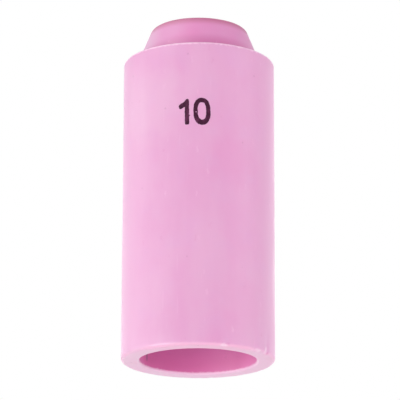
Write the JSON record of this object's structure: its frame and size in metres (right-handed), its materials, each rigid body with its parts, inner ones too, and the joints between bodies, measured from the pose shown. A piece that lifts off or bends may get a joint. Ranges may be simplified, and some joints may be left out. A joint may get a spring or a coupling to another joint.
{
  "type": "tig torch gas nozzle",
  "caption": "Straight ceramic gas cup for a tungsten arc welding torch, with a flat shoulder and a short tapered seat that screws on from inside.",
  "frame": {"origin": "centre of the gas outlet's end face, which the nozzle stands on", "axes": "+Z along the nozzle's axis from the outlet towards the torch; the printed size number faces -Y"},
  "size_m": [0.0208, 0.0208, 0.0472],
  "materials": {
    "pink_alumina": "satin"
  },
  "bodies": {
    "root": {"gas_nozzle": "pink_alumina"}
  },
  "joints": []
}
